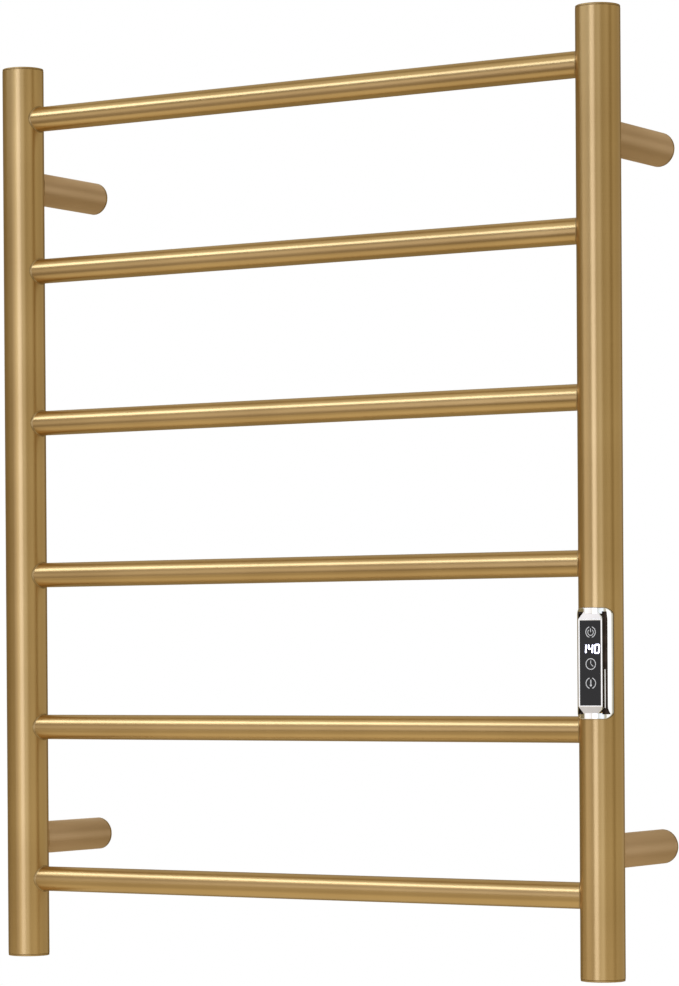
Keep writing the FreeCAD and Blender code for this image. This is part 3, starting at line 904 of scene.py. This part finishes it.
# Cards far off round the rack, at its height: middle, half width and soft edge in degrees, and brightness.
# The middle is counted from the front, positive to the right
WALL_CARDS = {
    "left_card": (-48, 10, 10, 0.1),
    "front_card": (10, 22, 12, 0.6),
    "right_card": (52, 20, 25, 0.35),
    "back_right_card": (134, 32, 6, 0.35),
}
WALL_LIGHT = 0.25
# Cards over and under the rack, by the angle round the X axis: 0 is the front, 90 overhead, -90 the floor
CEILING_CARDS = {
    "ceiling_card": (58, 18, 12, 0.6),
    "back_ceiling_card": (122, 24, 10, 0.38),
    "floor_card": (-105, 45, 15, 0.21),
}
CEILING_LIGHT = 0.17
NEUTRAL = 0.65
# The wall cards give way to the ceiling cards between these two elevations, in degrees
BAND_LOW = 6.0
BAND_HIGH = 20.0


def make_world():
    """A dim room with soft-edged cards, by direction. Bright areas are cool and dark ones warm."""
    world = bpy.data.worlds.new("studio")
    bpy.context.scene.world = world
    world.use_nodes = True
    nodes = Nodes(world.node_tree)
    source = nodes.add("ShaderNodeTexCoord")
    split = nodes.add("ShaderNodeSeparateXYZ")
    nodes.link(source.outputs["Generated"], split.inputs[0])
    x, y, z = split.outputs
    front = nodes.math("MULTIPLY", y, -1.0)
    to_degrees = 180 / math.pi
    azimuth = nodes.math("MULTIPLY", nodes.math("ARCTAN2", x, front), to_degrees)
    round_x = nodes.math("MULTIPLY", nodes.math("ARCTAN2", z, front), to_degrees)
    elevation = nodes.math("MULTIPLY", nodes.math("ARCSINE", z), to_degrees)

    def fade(value, full, none):
        step = nodes.add("ShaderNodeMapRange", interpolation_type="SMOOTHSTEP")
        nodes.link(value, step.inputs["Value"])
        step.inputs["From Min"].default_value = full
        step.inputs["From Max"].default_value = none
        step.inputs["To Min"].default_value = 1.0
        step.inputs["To Max"].default_value = 0.0
        return step.outputs[0]

    def light_of(angle, cards, total):
        for middle, half, edge, level in cards.values():
            off = nodes.math("ABSOLUTE", nodes.math("SUBTRACT", angle, middle))
            card = nodes.math("MULTIPLY", fade(off, half, half + edge), level)
            total = nodes.math("ADD", card, total)
        return total

    near = fade(nodes.math("ABSOLUTE", elevation), BAND_LOW, BAND_HIGH)
    far = nodes.math("SUBTRACT", 1.0, near)
    wall_light = nodes.math("MULTIPLY", light_of(azimuth, WALL_CARDS, WALL_LIGHT), near)
    ceiling_light = nodes.math("MULTIPLY", light_of(round_x, CEILING_CARDS, CEILING_LIGHT), far)
    total = nodes.math("ADD", wall_light, ceiling_light)
    ratio = nodes.math("DIVIDE", total, NEUTRAL)
    green = nodes.math("MULTIPLY", nodes.math("POWER", ratio, 1.2), NEUTRAL * 0.95)
    blue = nodes.math("MULTIPLY", nodes.math("POWER", ratio, 1.7), NEUTRAL * 0.78)
    join = nodes.add("ShaderNodeCombineColor")
    for socket, channel in zip(join.inputs, (total, green, blue)):
        nodes.link(channel, socket)
    seen = nodes.add("ShaderNodeLightPath")
    mix = nodes.add("ShaderNodeMix", data_type="RGBA")
    nodes.link(seen.outputs["Is Camera Ray"], mix.inputs["Factor"])
    colour_inputs = [socket for socket in mix.inputs if socket.type == "RGBA"]
    nodes.link(join.outputs[0], colour_inputs[0])
    colour_inputs[1].default_value = (1, 1, 1, 1)
    background = nodes.add("ShaderNodeBackground")
    colour_output = [socket for socket in mix.outputs if socket.type == "RGBA"][0]
    nodes.link(colour_output, background.inputs["Color"])
    output = nodes.add("ShaderNodeOutputWorld")
    nodes.link(background.outputs[0], output.inputs[0])


# Soft boxes near the rack: middle, the point each one faces, width and height (metres), brightness, tint
SOFT_BOXES = {
    "front_soft_box": ((0.07, -2.75, 0.3), (0.07, 0.0, 0.3), 1.0, 2.0, 1.0, (1.0, 1.18, 1.8)),
    "key_soft_box": ((-1.2, -1.45, 1.36), (0.0, -0.1, 0.0), 2.6, 0.56, 2.1, (1.0, 1.22, 1.6)),
    "floor_soft_box": ((-0.35, -0.42, -0.47), (-0.35, -0.40, 1.0), 2.4, 0.84, 0.38, (1.0, 0.97, 0.85)),
    "side_soft_box": ((-0.425, -1.035, 0.0), (1.0, -0.85, 0.0), 1.14, 0.8, 0.36, (1.0, 1.02, 1.15)),
}

# Soft boxes that light only the control's pieces
CONTROL_BOXES = {
    "control_side_box": ((1.24, -0.35, -0.12), (0.25, -0.10, -0.12), 0.95, 0.7, 0.70, (0.96, 1.0, 1.1)),
    "control_front_box": ((-0.35, -1.25, -0.12), (0.25, -0.10, -0.12), 1.5, 2.2, 0.52, (1.0, 1.0, 1.06)),
}


def make_soft_boxes():
    shiny = bpy.data.collections.new("control_pieces")
    for obj in bpy.context.scene.objects:
        if obj.name.startswith("control_") and obj.type == "MESH":
            shiny.objects.link(obj)
    for name, (middle, aim, width, height, level, tint) in {**SOFT_BOXES, **CONTROL_BOXES}.items():
        light = bpy.data.lights.new(name, "AREA")
        light.shape = "RECTANGLE"
        light.size = width
        light.size_y = height
        light.energy = level * math.pi * width * height
        light.color = tint
        box = bpy.data.objects.new(name, light)
        bpy.context.scene.collection.objects.link(box)
        box.location = middle
        box.rotation_euler = (Vector(aim) - Vector(middle)).to_track_quat("-Z", "Y").to_euler()
        box.visible_camera = False
        if name in CONTROL_BOXES:
            box.light_linking.receiver_collection = shiny


# The camera looks from the right of the rack, a little below its middle. Angles are in radians
CAMERA_YAW = 0.5703
CAMERA_PITCH = -0.0080
CAMERA_ROLL = -0.0065
CAMERA_PLACE = Vector((1.4548, -2.4690, -0.1161))
CAMERA_LENS = 136.5
CAMERA_SHIFT = (0.116, 0.2)


def make_camera():
    data = bpy.data.cameras.new("studio_camera")
    data.sensor_width = 36.0
    data.lens = CAMERA_LENS
    data.shift_x, data.shift_y = CAMERA_SHIFT
    data.clip_start = 0.05
    data.clip_end = 60.0
    camera = bpy.data.objects.new("studio_camera", data)
    bpy.context.scene.collection.objects.link(camera)
    bpy.context.scene.camera = camera
    forward = Vector(
        (
            -math.sin(CAMERA_YAW) * math.cos(CAMERA_PITCH),
            math.cos(CAMERA_YAW) * math.cos(CAMERA_PITCH),
            math.sin(CAMERA_PITCH),
        )
    )
    level = Vector((math.cos(CAMERA_YAW), math.sin(CAMERA_YAW), 0))
    above = level.cross(forward)
    right = level * math.cos(CAMERA_ROLL) + above * math.sin(CAMERA_ROLL)
    up = above * math.cos(CAMERA_ROLL) - level * math.sin(CAMERA_ROLL)
    turn = Matrix((right, up, -forward)).transposed().to_4x4()
    camera.matrix_world = Matrix.Translation(CAMERA_PLACE) @ turn


make_floor()
make_world()
make_soft_boxes()
make_camera()
bpy.context.scene.view_settings.view_transform = "Standard"
